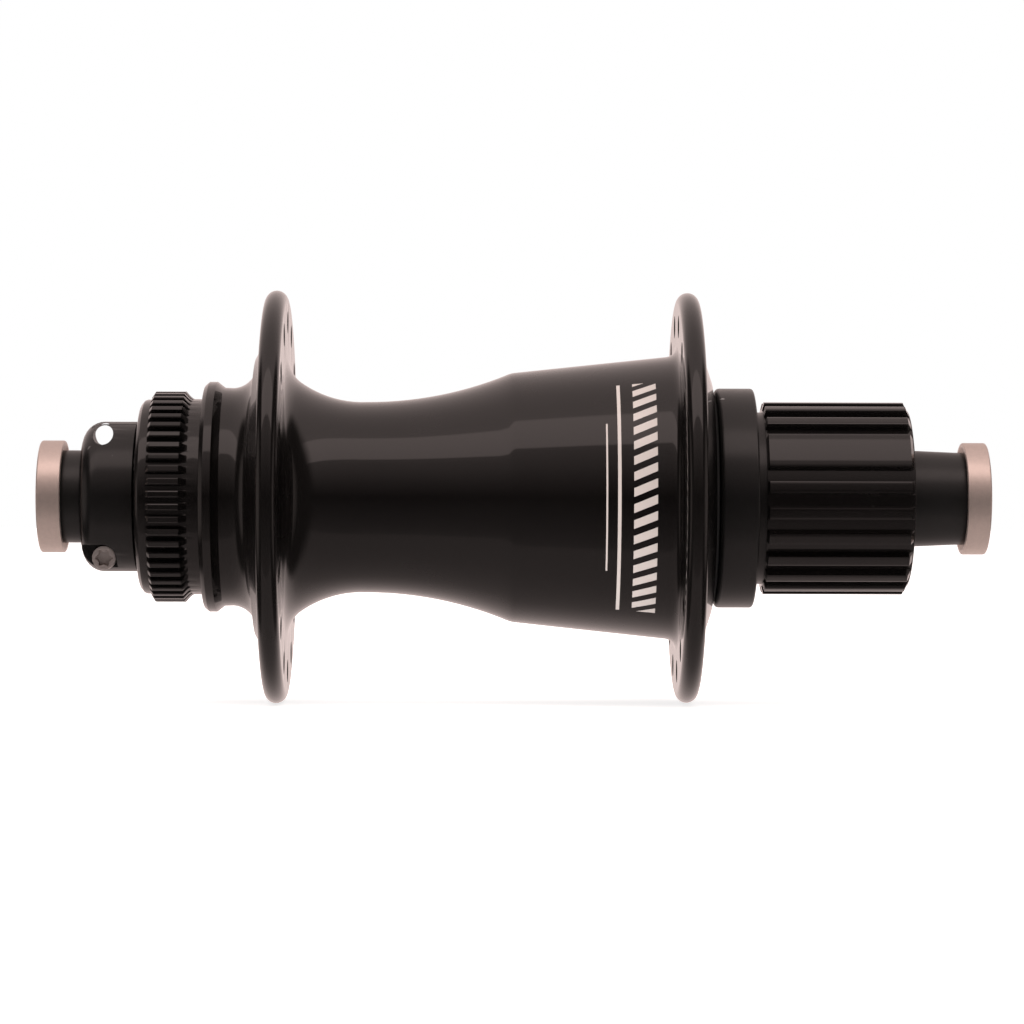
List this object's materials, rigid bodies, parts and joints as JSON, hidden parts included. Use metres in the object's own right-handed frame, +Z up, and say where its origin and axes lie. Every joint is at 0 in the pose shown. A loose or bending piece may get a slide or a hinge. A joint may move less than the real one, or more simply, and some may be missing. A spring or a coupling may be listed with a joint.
{
  "type": "bicycle rear hub",
  "caption": "Rear bicycle hub for a disc brake and a 12 mm thru axle, with two spoke flanges, a splined cassette driver and a face-ratchet freewheel.",
  "frame": {"origin": "on the axle line, midway between the outer faces of the two end caps", "axes": "+Y along the axle toward the disc side, -Y toward the cassette side, +Z up, +X toward the front of the bicycle"},
  "size_m": [0.0686, 0.157, 0.0686],
  "materials": {
    "shell_black": "gloss black anodised",
    "satin_black": "satin black anodised",
    "cap_alloy": "matte bead blasted",
    "screw_steel": "dull",
    "bearing_steel": "ground",
    "hard_steel": "hardened",
    "seal_rubber": "matte",
    "cage_plastic": "matte"
  },
  "bodies": {
    "axle_body": {"axle": "satin_black", "axle_snap_ring": "hard_steel", "end_cap_left": "cap_alloy", "end_cap_right": "cap_alloy", "cap_o_ring_left": "seal_rubber", "cap_o_ring_right": "seal_rubber", "left_bearing_inner_race": "bearing_steel", "driver_bearing_inner_race": "bearing_steel"},
    "shell_body": {"hub_shell": "shell_black", "left_bearing_outer_race": "bearing_steel", "left_bearing_seal_low": "seal_rubber", "left_bearing_seal_high": "seal_rubber", "left_bearing_snap_ring": "hard_steel", "shell_bearing_outer_race": "bearing_steel", "shell_bearing_seal_low": "seal_rubber", "shell_bearing_seal_high": "seal_rubber", "shell_bearing_snap_ring": "hard_steel", "driver_seal": "seal_rubber", "drive_spring": "hard_steel", "spring_retainer": "hard_steel"},
    "driver_body": {"driver": "satin_black", "shell_bearing_inner_race": "bearing_steel", "driven_ring": "hard_steel", "driver_bearing_outer_race": "bearing_steel", "driver_bearing_seal_low": "seal_rubber", "driver_bearing_seal_high": "seal_rubber", "driver_bearing_snap_ring": "hard_steel", "needle_cup": "bearing_steel"},
    "drive_ring_body": {"drive_ring": "hard_steel"},
    "collar_body": {"adjusting_collar": "satin_black"},
    "pinch_screw_body": {"pinch_screw": "screw_steel"},
    "left_balls_body": {"left_bearing_balls": "bearing_steel", "left_bearing_cage": "cage_plastic"},
    "shell_balls_body": {"shell_bearing_balls": "bearing_steel", "shell_bearing_cage": "cage_plastic"},
    "driver_balls_body": {"driver_bearing_balls": "bearing_steel", "driver_bearing_cage": "cage_plastic"},
    "needle_body": {"needle_rollers": "bearing_steel", "needle_cage": "cage_plastic"}
  },
  "joints": [
    {"name": "hub_spin", "type": "hinge", "parent": "axle_body", "child": "shell_body", "pos_m": [0, 0.005, 0], "axis": [0, 1, 0], "continuous": true},
    {"name": "driver_spin", "type": "hinge", "parent": "axle_body", "child": "driver_body", "pos_m": [0, -0.035, 0], "axis": [0, 1, 0], "continuous": true},
    {"name": "drive_ring_slide", "type": "slide", "parent": "shell_body", "child": "drive_ring_body", "axis": [0, -1, 0], "range_m": [0, 0.00069]},
    {"name": "collar_turn", "type": "hinge", "parent": "axle_body", "child": "collar_body", "pos_m": [0, 0.067, 0], "axis": [0, 1, 0], "range_deg": [-60, 60]},
    {"name": "pinch_screw_turn", "type": "hinge", "parent": "collar_body", "child": "pinch_screw_body", "pos_m": [0, 0.06755, -0.0101], "axis": [-1, 0, 0], "range_deg": [0, 360]},
    {"name": "left_balls_spin", "type": "hinge", "parent": "axle_body", "child": "left_balls_body", "pos_m": [0, 0.0525, 0], "axis": [0, 1, 0], "continuous": true},
    {"name": "shell_balls_spin", "type": "hinge", "parent": "axle_body", "child": "shell_balls_body", "pos_m": [0, -0.0275, 0], "axis": [0, 1, 0], "continuous": true},
    {"name": "driver_balls_spin", "type": "hinge", "parent": "axle_body", "child": "driver_balls_body", "pos_m": [0, -0.0565, 0], "axis": [0, 1, 0], "continuous": true},
    {"name": "needle_spin", "type": "hinge", "parent": "axle_body", "child": "needle_body", "pos_m": [0, -0.0133, 0], "axis": [0, 1, 0], "continuous": true}
  ],
  "couplings": [
    {"joint": "left_balls_spin", "follows": "hub_spin", "ratio": 0.5595},
    {"joint": "shell_balls_spin", "follows": "hub_spin", "ratio": 0.5574},
    {"joint": "driver_balls_spin", "follows": "driver_spin", "ratio": 0.5595},
    {"joint": "needle_spin", "follows": "driver_spin", "ratio": 0.5404}
  ]
}
